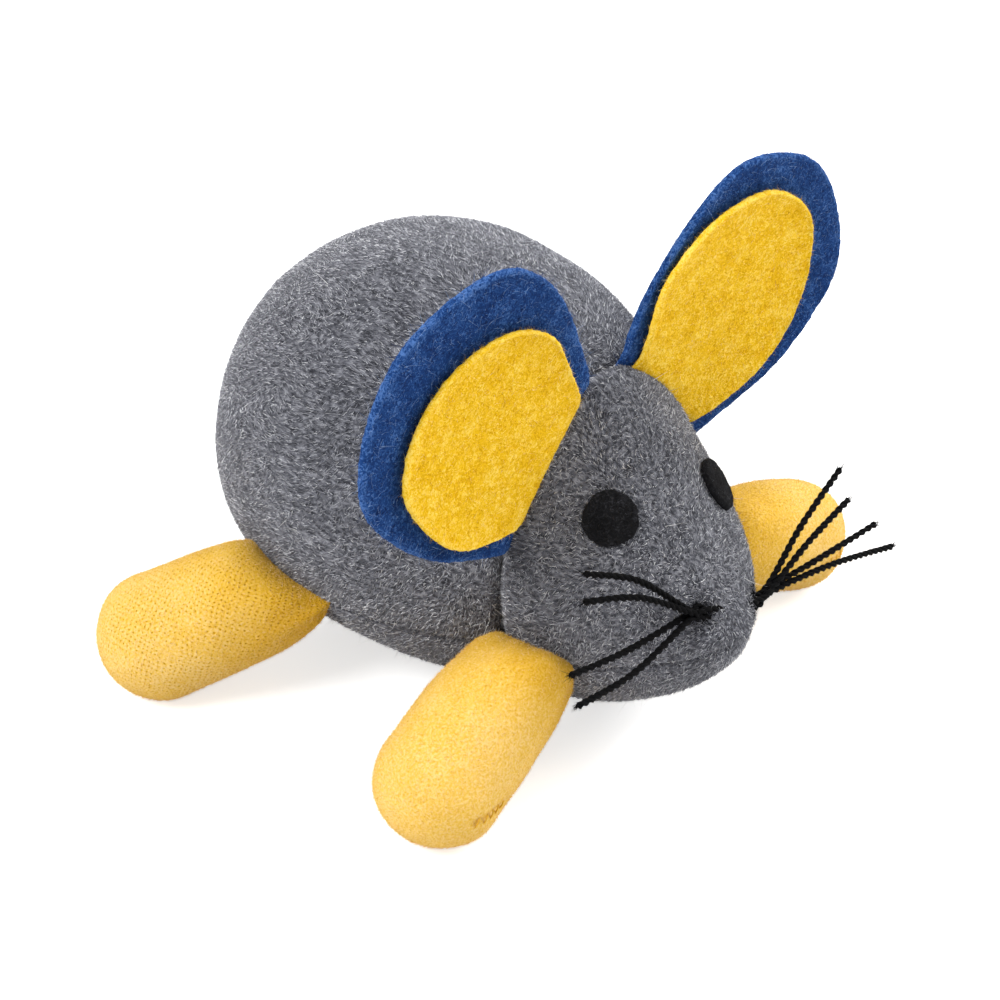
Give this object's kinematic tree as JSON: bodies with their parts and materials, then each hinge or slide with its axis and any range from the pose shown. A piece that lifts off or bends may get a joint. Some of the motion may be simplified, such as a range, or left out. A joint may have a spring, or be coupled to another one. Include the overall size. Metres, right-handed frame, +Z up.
{
  "type": "catnip mouse",
  "caption": "Stuffed plush toy mouse with floppy jersey legs, felt ears and eyes, thread whiskers and a catnip sachet inside.",
  "frame": {"origin": "middle of the bounding box in plan, on the surface that the toy lies on", "axes": "+Z up, nose towards -Y, the mouse's left side towards +X"},
  "size_m": [0.1218, 0.1076, 0.0948],
  "materials": {
    "gray_plush": "brushed short-pile polyester plush, matt",
    "yellow_jersey": "brushed fine jersey knit, matt",
    "blue_felt": "needled polyester felt, matt",
    "yellow_felt": "needled polyester felt, matt",
    "black_felt": "needled polyester felt, matt",
    "black_waxed_thread": "twisted waxed thread, low sheen",
    "polyester_fibrefill": "loose white fibre",
    "nonwoven_sachet": "thin nonwoven sheet",
    "dried_leaf": "crushed dried leaf"
  },
  "bodies": {
    "root": {"back_panel": "gray_plush", "head_panel": "gray_plush", "belly_panel": "gray_plush", "body_filling_upper": "polyester_fibrefill", "body_filling_lower": "polyester_fibrefill", "head_filling": "polyester_fibrefill", "sachet_sheet_upper": "nonwoven_sachet", "sachet_sheet_lower": "nonwoven_sachet", "catnip_leaf": "dried_leaf", "right_eye": "black_felt", "left_eye": "black_felt", "whisker_thread_1": "black_waxed_thread", "whisker_thread_2": "black_waxed_thread", "whisker_thread_3": "black_waxed_thread", "whisker_thread_4": "black_waxed_thread"},
    "front_left_leg": {"front_left_leg_cover": "yellow_jersey", "front_left_leg_filling": "polyester_fibrefill"},
    "front_right_leg": {"front_right_leg_cover": "yellow_jersey", "front_right_leg_filling": "polyester_fibrefill"},
    "rear_left_leg": {"rear_left_leg_cover": "yellow_jersey", "rear_left_leg_filling": "polyester_fibrefill"},
    "rear_right_leg": {"rear_right_leg_cover": "yellow_jersey", "rear_right_leg_filling": "polyester_fibrefill"},
    "left_ear": {"left_ear_outer_felt": "blue_felt", "left_ear_inner_felt": "yellow_felt"},
    "right_ear": {"right_ear_outer_felt": "blue_felt", "right_ear_inner_felt": "yellow_felt"}
  },
  "joints": [
    {"name": "front_left_leg_hinge", "type": "hinge", "parent": "root", "child": "front_left_leg", "pos_m": [0.02213, -0.02671, 0.02041], "axis": [-0.333, -0.9427, 0.018], "range_deg": [-45, 50], "stiffness_Nm_per_rad": 0.012},
    {"name": "front_right_leg_hinge", "type": "hinge", "parent": "root", "child": "front_right_leg", "pos_m": [-0.02213, -0.02671, 0.02041], "axis": [-0.333, 0.9427, -0.018], "range_deg": [-45, 50], "stiffness_Nm_per_rad": 0.012},
    {"name": "rear_left_leg_hinge", "type": "hinge", "parent": "root", "child": "rear_left_leg", "pos_m": [0.03671, 0.01507, 0.02113], "axis": [0.0317, -0.9994, -0.0166], "range_deg": [-30, 50], "stiffness_Nm_per_rad": 0.012},
    {"name": "rear_right_leg_hinge", "type": "hinge", "parent": "root", "child": "rear_right_leg", "pos_m": [-0.03671, 0.01507, 0.02113], "axis": [0.0317, 0.9994, 0.0166], "range_deg": [-30, 50], "stiffness_Nm_per_rad": 0.012},
    {"name": "left_ear_hinge", "type": "hinge", "parent": "root", "child": "left_ear", "pos_m": [0.01752, -0.0221, 0.05388], "axis": [0.5956, 0, -0.8033], "range_deg": [-20, 45], "stiffness_Nm_per_rad": 0.006},
    {"name": "right_ear_hinge", "type": "hinge", "parent": "root", "child": "right_ear", "pos_m": [-0.01668, -0.0221, 0.05508], "axis": [0.6291, 0, 0.7773], "range_deg": [-20, 45], "stiffness_Nm_per_rad": 0.006}
  ]
}
